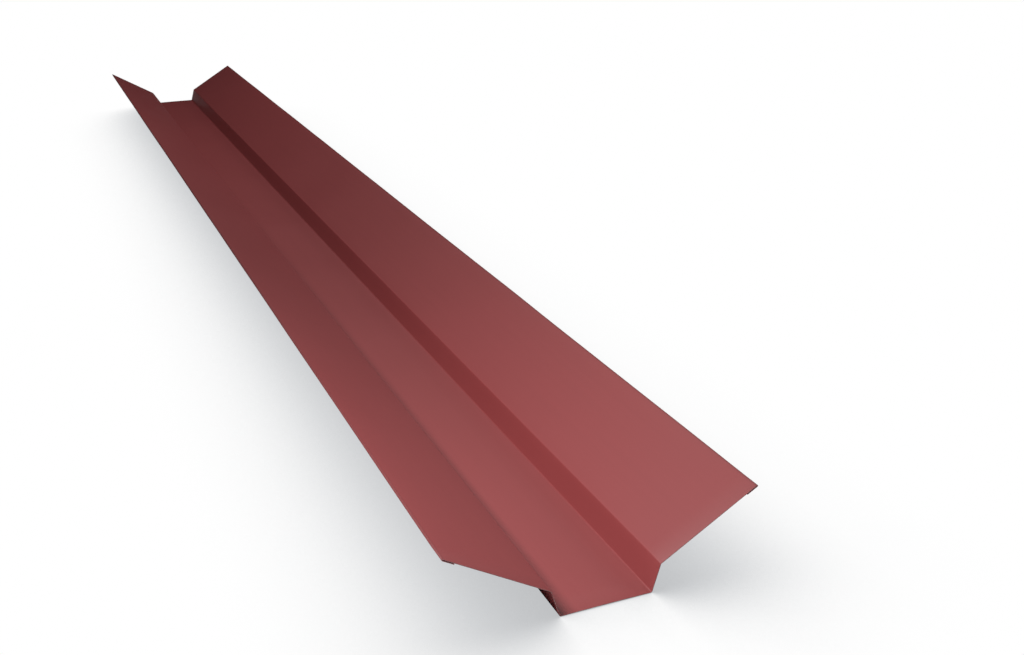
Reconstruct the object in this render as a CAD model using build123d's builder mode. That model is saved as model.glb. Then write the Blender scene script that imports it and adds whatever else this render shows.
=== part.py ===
from build123d import *
from math import cos, radians, sin, tan
import os

# Valley flashing: one strip of thin colour-coated steel sheet, folded along its whole length.
# A flat trough carries the rainwater. A short steep wall and a wide wing stand on each side of it,
# and each wing's outer edge is turned under itself as an open hem that fixing cleats hook into.
# X runs across the section, Y along the valley, and Z up. The origin is on the underside of the
# trough, at the middle of the length, so the flashing lies on a level floor at Z = 0.

# The sheet
sheet_length = 2000.0
sheet_thickness = 0.5
bend_radius = 1.0  # inside each fold, on its hollow side

# The section, measured on the underside between sharp corners
trough_width = 71.0
trough_depth = 21.5
wall_angle = 73.0  # from the horizontal
wing_width = 88.0  # along the slope, out to the rounded edge of the hem
wing_angle = 30.5  # from the horizontal

# The open hem under each wing's outer edge
hem_width = 10.0  # from the rounded edge to the cut edge
hem_gap = 1.0  # clear slot between the wing and the turned-under strip

hem_inner_radius = hem_gap / 2
hem_outer_radius = hem_inner_radius + sheet_thickness

# Sharp corners of the underside on the right, from the middle of the trough outwards
trough_corner = Vector(trough_width / 2, 0)
knee_corner = trough_corner + Vector(trough_depth / tan(radians(wall_angle)), trough_depth)
wing_slope = Vector(cos(radians(wing_angle)), sin(radians(wing_angle)))
hem_start = knee_corner + wing_slope * (wing_width - hem_outer_radius)


with BuildPart() as valley_flashing:
    with BuildSketch(Plane.XZ) as folded_section:
        with BuildLine() as sheet_outline:
            # The folds at the trough are hollow on top, and those at the knees underneath
            underside = FilletPolyline(
                (0, 0),
                trough_corner,
                knee_corner,
                hem_start,
                radius=[bend_radius + sheet_thickness, bend_radius],
            )
            hem_fold = JernArc(underside @ 1, underside % 1, hem_inner_radius, -180)
            hem_strip = Line(hem_fold @ 1, hem_fold @ 1 - wing_slope * (hem_width - hem_outer_radius))
            offset(amount=sheet_thickness, side=Side.LEFT)
        make_face()
        mirror(about=Plane.YZ)
    extrude(amount=sheet_length / 2, both=True)

valley_flashing.part.label = "valley_flashing"

# Flat blank that the section is folded from, along the middle of the sheet's thickness
section_face = folded_section.sketch.face()
blank_width = section_face.area / sheet_thickness
print(f"flat blank {blank_width:.1f} mm wide, {valley_flashing.part.volume / 1000:.1f} cm3 of steel")

os.makedirs("parts", exist_ok=True)
export_step(valley_flashing.part, "parts/valley_flashing.step")
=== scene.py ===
from math import cos, pi, radians, sin, tan
import bmesh
import bpy
from mathutils import Matrix, Vector


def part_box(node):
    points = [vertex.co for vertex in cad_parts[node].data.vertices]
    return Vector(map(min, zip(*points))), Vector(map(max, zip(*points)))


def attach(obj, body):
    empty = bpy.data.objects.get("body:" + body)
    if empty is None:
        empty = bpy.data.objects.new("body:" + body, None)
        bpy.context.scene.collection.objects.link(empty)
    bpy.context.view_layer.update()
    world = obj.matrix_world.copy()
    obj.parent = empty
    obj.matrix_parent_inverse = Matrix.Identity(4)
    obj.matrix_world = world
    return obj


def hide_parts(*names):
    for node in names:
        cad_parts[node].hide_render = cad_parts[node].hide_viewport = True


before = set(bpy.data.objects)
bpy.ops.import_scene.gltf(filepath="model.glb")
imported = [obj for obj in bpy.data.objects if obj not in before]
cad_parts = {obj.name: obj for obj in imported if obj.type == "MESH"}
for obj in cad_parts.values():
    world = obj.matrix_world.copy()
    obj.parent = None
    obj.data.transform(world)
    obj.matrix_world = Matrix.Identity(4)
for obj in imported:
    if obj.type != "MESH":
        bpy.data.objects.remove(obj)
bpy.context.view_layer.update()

# The folded strip
# One strip of galvanised steel sheet, 0.5 mm thick and coated red-brown on both faces while it was
# still a coil. It is folded cold on a long folding machine: first the trough's two walls, then the
# wings, and last the open hems that turn each wing's outer edge under itself.
strip_low, strip_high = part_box("valley_flashing")
strip_length = strip_high.y - strip_low.y
sheet_thickness = 0.0005
trough_width = 0.071
trough_depth = 0.0215
wall_angle = radians(73)
wing_width = 0.088
wing_angle = radians(30.5)
hem_width = 0.010
hem_gap = 0.001
hollow_fold_radius = 0.001
trough_fold_radius = hollow_fold_radius + sheet_thickness
hem_inner_radius = hem_gap / 2
hem_outer_radius = hem_inner_radius + sheet_thickness
fold_steps = 8
hem_steps = 14
same_place = 1e-6  # points closer together than this count as one

wing_slope = Vector((cos(wing_angle), 0, sin(wing_angle)))
wing_back = Vector((sin(wing_angle), 0, -cos(wing_angle)))
trough_corner = Vector((trough_width / 2, 0, 0))
knee_corner = trough_corner + Vector((trough_depth / tan(wall_angle), 0, trough_depth))
hem_start = knee_corner + wing_slope * (wing_width - hem_outer_radius)
hem_centre = hem_start + wing_back * hem_inner_radius
hem_tuck = -wing_slope * (hem_width - hem_outer_radius)


def on_side(vector, side):
    """The vector, mirrored to the left of the trough where side is -1."""
    return Vector((side * vector.x, vector.y, vector.z))


def select_edges(obj, wanted):
    """In edit mode, selects the edges whose two ends pass together, and nothing else."""
    sheet = bmesh.from_edit_mesh(obj.data)
    for edge in sheet.edges:
        edge.select_set(wanted(edge.verts[0].co, edge.verts[1].co))
    bmesh.update_edit_mesh(obj.data)


def near_line(point, line, reach=1e-5):
    """True where the point lies on this line along the strip, given by its place in the section."""
    return abs(point.x - line.x) < reach and abs(point.z - line.z) < reach


def extrude_by(move):
    bpy.ops.mesh.extrude_edges_move(TRANSFORM_OT_translate={"value": tuple(move)})


def round_fold(obj, corner, radius, angle):
    """Rounds a sharp fold, left and right, to this radius on the underside of the strip."""
    def on_corner(a, b):
        return all(near_line(p, on_side(corner, s)) for s in (1, -1) for p in (a, b) if p.x * s > 0)
    select_edges(obj, on_corner)
    bpy.ops.mesh.bevel(offset=radius * tan(angle / 2), offset_type="OFFSET", segments=fold_steps,
                       profile=0.5, affect="EDGES")


def split_across(obj, width, pieces):
    """Divides the flat panels of this width, less what their rounded folds took, into strips."""
    narrowest, widest = 0.9 * width, 1.01 * width

    def across(a, b):
        return abs(a.y - b.y) < same_place and narrowest < (a - b).length < widest
    select_edges(obj, across)
    bpy.ops.mesh.subdivide(number_cuts=pieces - 1)


def squeeze_hem_ends(obj, side, share):
    """Presses both ends of one hem towards its wing, to this share of their height."""
    hem_line = on_side(hem_start, side)
    outwards = on_side(wing_slope, side)

    def at_hem_end(a, b):
        return all(abs(p.y) > strip_length / 2 - same_place and (p - hem_line).dot(outwards) > -hem_width
                   for p in (a, b))
    select_edges(obj, at_hem_end)
    bpy.ops.transform.resize(value=(1, 1, share), constraint_axis=(False, False, True),
                             orient_matrix=(outwards, Vector((0, 1, 0)), on_side(wing_back, side)),
                             orient_type="GLOBAL", orient_matrix_type="GLOBAL", center_override=hem_line)


def apply_modifiers(obj):
    bpy.context.view_layer.objects.active = obj
    for modifier in list(obj.modifiers):
        bpy.ops.object.modifier_apply(modifier=modifier.name)


# The trough's underside comes first, and the walls, wings and hems are drawn out of its long edges
bpy.ops.object.select_all(action="DESELECT")
bpy.ops.mesh.primitive_plane_add(size=1.0)
strip = bpy.context.object
strip.name = strip.data.name = "folded_strip"
strip.scale = (trough_width, strip_length, 1)
bpy.ops.object.transform_apply(location=True, rotation=True, scale=True)

bpy.ops.object.mode_set(mode="EDIT")
bpy.ops.mesh.select_mode(type="EDGE")
for side in (1, -1):
    select_edges(strip, lambda a, b: all(near_line(p, on_side(trough_corner, side)) for p in (a, b)))
    extrude_by(on_side(knee_corner - trough_corner, side))
    extrude_by(on_side(hem_start - knee_corner, side))
    bpy.ops.mesh.spin(steps=hem_steps, angle=-side * pi, center=on_side(hem_centre, side), axis=(0, 1, 0))
    extrude_by(on_side(hem_tuck, side))
bpy.ops.mesh.select_all(action="SELECT")
bpy.ops.mesh.remove_doubles(threshold=same_place)
round_fold(strip, trough_corner, trough_fold_radius, wall_angle)
round_fold(strip, knee_corner, hollow_fold_radius, wall_angle - wing_angle)

# Cold-folded thin sheet is never quite flat, so the panels get a fine net to ripple on
lengthwise_pieces = 100
split_across(strip, trough_width, pieces=6)
split_across(strip, trough_depth / sin(wall_angle), pieces=2)
split_across(strip, wing_width, pieces=8)
select_edges(strip, lambda a, b: abs(a.y - b.y) > strip_length / 2)
bpy.ops.mesh.subdivide(number_cuts=lengthwise_pieces - 1)
bpy.ops.mesh.select_all(action="SELECT")
bpy.ops.mesh.normals_make_consistent(inside=False)

# The blade that sheared the folded strip to length squeezed the ends of its hems
for side in (1, -1):
    squeeze_hem_ends(strip, side, share=0.4)
bpy.ops.object.mode_set(mode="OBJECT")

# The sheet gets its thickness on the side that its faces point to, so the trough's have to point up
trough_faces = [face for face in strip.data.polygons if face.center.z < same_place]
if trough_faces[0].normal.z < 0:
    strip.data.flip_normals()


def wing_freedom(point):
    """0 at the stiff knee and 1 at the hem, which is the freest line of the strip."""
    share = min(max((abs(point.x) - knee_corner.x) / (hem_start.x - knee_corner.x), 0), 1)
    return share * share * (3 - 2 * share)


def trough_freedom(point):
    """1 along the middle of the trough and 0 at its two folds."""
    return cos(pi * point.x / trough_width) if point.z < same_place else 0


def ripple(obj, name, freedom, strength, mid_level):
    """Lifts the sheet by a slow uneven wave, as far as each of its points is free to move."""
    group = obj.vertex_groups.new(name=name)
    for vertex in obj.data.vertices:
        group.add([vertex.index], freedom(vertex.co), "REPLACE")
    waves = bpy.data.textures.new(name, "CLOUDS")
    waves.noise_scale = 0.22
    waves.noise_depth = 1
    modifier = obj.modifiers.new(name, "DISPLACE")
    modifier.texture = waves
    modifier.texture_coords = "LOCAL"
    modifier.direction = "Z"
    modifier.vertex_group = name
    modifier.strength = strength
    modifier.mid_level = mid_level


ripple(strip, "wing_ripple", wing_freedom, strength=0.0011, mid_level=0.5)
ripple(strip, "trough_ripple", trough_freedom, strength=0.0004, mid_level=0.0)

# The sheet's thickness and a fine burr on its sheared edges. The strip's materials are the weather
# coat, the underside's coat and the cut edges, in this order.
underside_slot = 1
cut_edge_slot = 2
sheet = strip.modifiers.new("sheet", "SOLIDIFY")
sheet.thickness = sheet_thickness
sheet.offset = 1
sheet.use_even_offset = True
sheet.material_offset = underside_slot
sheet.material_offset_rim = cut_edge_slot
burr = strip.modifiers.new("sheared_edge", "BEVEL")
burr.width = 0.00005
burr.segments = 2
burr.limit_method = "ANGLE"
burr.angle_limit = radians(50)
burr.material = cut_edge_slot


# The colour coat on the weather side
# Polyester coil coating, 25 micrometres thick, roller-coated and baked on before the sheet is cut. It
# is satin, with a fine orange peel, faint streaks along the coil and a duller line on each fold where
# the coat was stretched. A darker line on the edge of each hem is painted shade, which damps the highlight
# there.
coat_colour = (0.195, 0.034, 0.035, 1)
coat_roughness = 0.52
satin_level = 0.35
gloss_drift = 0.12
fold_line_spread = 0.0028


def add_node(tree, kind, settings=(), **inputs):
    """Adds a node, sets its named inputs, and makes its settings."""
    made = tree.nodes.new(kind)
    for name, value in dict(settings).items():
        setattr(made, name, value)
    for name, value in inputs.items():
        socket = made.inputs[name.replace("_", " ")]
        if isinstance(value, bpy.types.NodeSocket):
            tree.links.new(value, socket)
        else:
            socket.default_value = value
    return made


def new_group(name, inputs, outputs):
    """Starts a shader node group with these inputs, given with their defaults, and outputs."""
    group = bpy.data.node_groups.new(name, "ShaderNodeTree")
    for socket_name, default in inputs.items():
        kind = "NodeSocketFloat" if isinstance(default, float) else "NodeSocketColor"
        group.interface.new_socket(socket_name, in_out="INPUT", socket_type=kind).default_value = default
    for socket_name, kind in outputs.items():
        group.interface.new_socket(socket_name, in_out="OUTPUT", socket_type=kind)
    return group, group.nodes.new("NodeGroupInput"), group.nodes.new("NodeGroupOutput")


def place_group(tree, group, **inputs):
    return add_node(tree, "ShaderNodeGroup", {"node_tree": group}, **inputs)


def maths(tree, operation, first, second):
    made = tree.nodes.new("ShaderNodeMath")
    made.operation = operation
    for socket, value in zip(made.inputs, (first, second)):
        if isinstance(value, bpy.types.NodeSocket):
            tree.links.new(value, socket)
        else:
            socket.default_value = value
    return made.outputs[0]


# Masks that are 1 on the open folds, or on the hems' edges, and fade out beside them
fold_lines, entry, result = new_group(
    "fold_lines",
    {"Spread": 0.002},
    {"Folds": "NodeSocketFloat", "Hems": "NodeSocketFloat"},
)
place = add_node(fold_lines, "ShaderNodeTexCoord").outputs["Object"]
parts = add_node(fold_lines, "ShaderNodeSeparateXYZ", Vector=place)
right = maths(fold_lines, "ABSOLUTE", parts.outputs["X"], 0)
section_place = add_node(fold_lines, "ShaderNodeCombineXYZ", X=right, Z=parts.outputs["Z"]).outputs[0]
distances = []
for corner in (trough_corner, knee_corner, hem_centre + wing_slope * hem_outer_radius):
    offset = fold_lines.nodes.new("ShaderNodeVectorMath")
    offset.operation = "DISTANCE"
    offset.inputs[1].default_value = corner
    fold_lines.links.new(section_place, offset.inputs[0])
    distances.append(offset.outputs["Value"])
nearest_fold = maths(fold_lines, "MINIMUM", distances[0], distances[1])
for socket_name, distance in (("Folds", nearest_fold), ("Hems", distances[2])):
    mask = add_node(fold_lines, "ShaderNodeMapRange", {"interpolation_type": "SMOOTHSTEP"}, Value=distance,
                    From_Min=entry.outputs["Spread"], From_Max=0.0, To_Min=0.0, To_Max=1.0)
    fold_lines.links.new(mask.outputs["Result"], result.inputs[socket_name])

# Colour, roughness and fine relief of a roller-coated face, whose streaks run along the coil
coil_coat, entry, result = new_group(
    "coil_coat",
    {"Colour": (0.2, 0.03, 0.03, 1), "Roughness": 0.4, "Streaks": 0.03, "Fold Wear": 0.1, "Hem Press": 0.2},
    {"Colour": "NodeSocketColor", "Roughness": "NodeSocketFloat", "Height": "NodeSocketFloat"},
)
place = add_node(coil_coat, "ShaderNodeTexCoord").outputs["Object"]
along = add_node(coil_coat, "ShaderNodeMapping", Vector=place, Scale=(1, 0.012, 1)).outputs[0]
streaks = add_node(coil_coat, "ShaderNodeTexNoise", Vector=along, Scale=260.0, Detail=3.0).outputs["Fac"]
clouds = add_node(coil_coat, "ShaderNodeTexNoise", Vector=place, Scale=7.0, Detail=2.0).outputs["Fac"]
peel = add_node(coil_coat, "ShaderNodeTexNoise", Vector=place, Scale=900.0, Detail=2.0).outputs["Fac"]
lines = place_group(coil_coat, fold_lines, Spread=fold_line_spread)
drift = maths(coil_coat, "SUBTRACT", maths(coil_coat, "ADD", streaks, clouds), 1.0)
shade = maths(coil_coat, "ADD", maths(coil_coat, "MULTIPLY", drift, entry.outputs["Streaks"]), 1.0)
worn = maths(coil_coat, "MULTIPLY", lines.outputs["Folds"], entry.outputs["Fold Wear"])
# Painted shade: the hems' edges are darkened by this share, to damp the highlight on them
hem_shade = maths(coil_coat, "MULTIPLY", lines.outputs["Hems"], entry.outputs["Hem Press"])
tone = maths(coil_coat, "SUBTRACT", maths(coil_coat, "ADD", shade, worn), hem_shade)
tinted = coil_coat.nodes.new("ShaderNodeVectorMath")
tinted.operation = "SCALE"
coil_coat.links.new(entry.outputs["Colour"], tinted.inputs[0])
coil_coat.links.new(tone, tinted.inputs["Scale"])
coil_coat.links.new(tinted.outputs[0], result.inputs["Colour"])
gloss = maths(coil_coat, "MULTIPLY", maths(coil_coat, "SUBTRACT", clouds, 0.5), gloss_drift)
dull = maths(coil_coat, "ADD", maths(coil_coat, "ADD", entry.outputs["Roughness"], gloss), worn)
coil_coat.links.new(dull, result.inputs["Roughness"])
coil_coat.links.new(peel, result.inputs["Height"])


def coat_material(name, colour, roughness, streaks, fold_wear, hem_painted_shade, peel_depth):
    """A coated face: the coil coat on the shader, with its orange peel as a bump."""
    material = bpy.data.materials.new(name)
    material.use_nodes = True
    tree = material.node_tree
    shader = tree.nodes["Principled BSDF"]
    coat = place_group(tree, coil_coat, Colour=colour, Roughness=roughness, Streaks=streaks,
                       Fold_Wear=fold_wear, Hem_Press=hem_painted_shade)
    relief = add_node(tree, "ShaderNodeBump", Strength=1.0, Distance=peel_depth,
                      Height=coat.outputs["Height"])
    tree.links.new(coat.outputs["Colour"], shader.inputs["Base Color"])
    tree.links.new(coat.outputs["Roughness"], shader.inputs["Roughness"])
    tree.links.new(relief.outputs["Normal"], shader.inputs["Normal"])
    shader.inputs["Specular IOR Level"].default_value = satin_level
    return material


# The weather coat darkens its hems' edges with painted shade
weather_coat = coat_material("weather_coat", coat_colour, coat_roughness, streaks=0.06, fold_wear=0.05,
                             hem_painted_shade=0.4, peel_depth=0.000006)


# The coat on the underside
# The same red-brown polyester in a thinner, duller layer, rolled on in the same pass of the coil. It
# lies against the roof boards.
back_coat_colour = (0.165, 0.028, 0.03, 1)
back_coat_roughness = 0.55
underside_coat = coat_material("underside_coat", back_coat_colour, back_coat_roughness, streaks=0.05,
                               fold_wear=0.03, hem_painted_shade=0.0, peel_depth=0.000004)


# The cut edges
# Where the strip was sheared to width and length: a line of grey steel half a millimetre wide, with
# the coat drawn down over most of it by the blade.
drawn_coat_colour = (0.22, 0.045, 0.046, 1)
stained_steel_colour = (0.25, 0.15, 0.15, 1)
cut_edge = bpy.data.materials.new("cut_edge")
cut_edge.use_nodes = True
tree = cut_edge.node_tree
shader = tree.nodes["Principled BSDF"]
place = add_node(tree, "ShaderNodeTexCoord").outputs["Object"]
shear_marks = add_node(tree, "ShaderNodeTexNoise", Vector=place, Scale=700.0, Detail=3.0).outputs["Fac"]
bared = add_node(tree, "ShaderNodeMapRange", Value=shear_marks, From_Min=0.56, From_Max=0.66)
metal = add_node(tree, "ShaderNodeValToRGB", Fac=shear_marks)
metal.color_ramp.elements[0].position = 0.45
metal.color_ramp.elements[0].color = drawn_coat_colour
metal.color_ramp.elements[1].position = 0.65
metal.color_ramp.elements[1].color = stained_steel_colour
tree.links.new(metal.outputs["Color"], shader.inputs["Base Color"])
tree.links.new(bared.outputs["Result"], shader.inputs["Metallic"])
torn = add_node(tree, "ShaderNodeMapRange", Value=shear_marks, To_Min=0.45, To_Max=0.7)
tree.links.new(torn.outputs["Result"], shader.inputs["Roughness"])

# The strip takes its three finishes, in the order of their slots, and stands for the CAD node
for material in (weather_coat, underside_coat, cut_edge):
    strip.data.materials.append(material)
apply_modifiers(strip)
strip.select_set(True)
bpy.ops.object.shade_smooth_by_angle(angle=radians(30))
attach(strip, "root")
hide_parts("valley_flashing")


# The floor
# A plain white floor that keeps the object's soft shadow, darkest where the strip shelters it from
# behind. Only the camera sees that white and that shadow. To the strip, it is plain matt paint.
floor_width = 24
matt_paint = (0.8, 0.8, 0.8, 1)
shelter_side = Vector((0, 0.958, 0.287))
shelter_reach = 0.3
deep_shadow = (0.05, 0.05, 0.052, 1)
cool_grey = (0.605, 0.617, 0.632, 1)
full_white = (1, 1, 1, 1)
bpy.ops.mesh.primitive_plane_add(size=1.0)
floor = bpy.context.object
floor.name = floor.data.name = "floor"
floor.scale = (floor_width, floor_width, 1)
bpy.ops.object.transform_apply(location=True, rotation=True, scale=True)
floor_paint = bpy.data.materials.new("floor_paint")
floor_paint.use_nodes = True
tree = floor_paint.node_tree
tree.nodes.clear()
bounce = add_node(tree, "ShaderNodeBsdfDiffuse", Color=matt_paint)
from_behind = add_node(tree, "ShaderNodeCombineXYZ", X=shelter_side.x, Y=shelter_side.y, Z=shelter_side.z)
shelter = add_node(tree, "ShaderNodeAmbientOcclusion", {"samples": 16}, Distance=shelter_reach,
                   Normal=from_behind.outputs[0])
shade = add_node(tree, "ShaderNodeValToRGB", Fac=shelter.outputs["AO"])
shade.color_ramp.elements[0].color = deep_shadow
shade.color_ramp.elements[1].position = 0.91
shade.color_ramp.elements[1].color = full_white
shade.color_ramp.elements.new(0.56).color = cool_grey
seen = add_node(tree, "ShaderNodeEmission", Color=shade.outputs["Color"])
rays = tree.nodes.new("ShaderNodeLightPath")
pick = add_node(tree, "ShaderNodeMixShader", Fac=rays.outputs["Is Camera Ray"])
tree.links.new(bounce.outputs[0], pick.inputs[1])
tree.links.new(seen.outputs[0], pick.inputs[2])
output = tree.nodes.new("ShaderNodeOutputMaterial")
tree.links.new(pick.outputs[0], output.inputs["Surface"])
floor.data.materials.append(floor_paint)


# The light
# A broad softbox overhead and a weak one at the right light the length. A small one at the near end's
# left makes that end the brightest, and a weak one at its right fills the cut edges and hems. The
# surround is dim, so that the satin coat has something dark to mirror towards the far end.
surround_level = 0.01
mirrored_room_level = 0.03
world = bpy.data.worlds.new("studio")
bpy.context.scene.world = world
world.use_nodes = True
tree = world.node_tree
surround = tree.nodes["Background"]
surround.inputs["Color"].default_value = full_white
rays = tree.nodes.new("ShaderNodeLightPath")
mirrored_level = maths(tree, "MULTIPLY", rays.outputs["Is Glossy Ray"], mirrored_room_level)
clear_level = maths(tree, "MAXIMUM", rays.outputs["Is Camera Ray"], rays.outputs["Is Transmission Ray"])
seen_level = maths(tree, "MAXIMUM", clear_level, maths(tree, "MAXIMUM", mirrored_level, surround_level))
tree.links.new(seen_level, surround.inputs["Strength"])


def softbox(name, place, target, size, power):
    """A square area lamp at this place, turned to its target and hidden from the camera."""
    lamp = bpy.data.lights.new(name, "AREA")
    lamp.shape = "SQUARE"
    lamp.size = size
    lamp.energy = power
    box = bpy.data.objects.new(name, lamp)
    bpy.context.scene.collection.objects.link(box)
    box.location = place
    box.rotation_mode = "QUATERNION"
    box.rotation_quaternion = (Vector(target) - Vector(place)).to_track_quat("-Z", "Y")
    box.visible_camera = False


softbox("near_left", place=(-0.40, -0.95, 0.57), target=(0, -0.95, 0), size=0.25, power=7.4)
softbox("near_right", place=(0.6, -1.3, 0.3), target=(0, -1, 0.03), size=0.25, power=1.3)
softbox("overhead", place=(0, 0.3, 1.4), target=(0, 0.3, 0), size=1.5, power=15.7)
softbox("right", place=(1.2, 0.2, 0.9), target=(0, 0.2, 0), size=0.8, power=4.2)


# The camera
# It stands at the photograph's viewpoint, low behind the near end and left of it. Its place, turns
# and focal length were fitted to the strip's corners and folds as the photograph shows them.
photo_width = 1024
focal_pixels = 1210.4
camera_place = (-0.3272, -1.6266, 0.4836)
pitch_down = radians(21.53)
turn_right = radians(22.52)
roll = radians(-0.85)
camera_data = bpy.data.cameras.new("camera")
camera_data.sensor_width = 36
camera_data.lens = focal_pixels / photo_width * camera_data.sensor_width
camera = bpy.data.objects.new("camera", camera_data)
bpy.context.scene.collection.objects.link(camera)
aim = Matrix.Rotation(-turn_right, 4, "Z") @ Matrix.Rotation(pi / 2 - pitch_down, 4, "X")
camera.matrix_world = Matrix.Translation(camera_place) @ aim @ Matrix.Rotation(roll, 4, "Z")
bpy.context.scene.camera = camera

bpy.context.scene.view_settings.view_transform = "Standard"
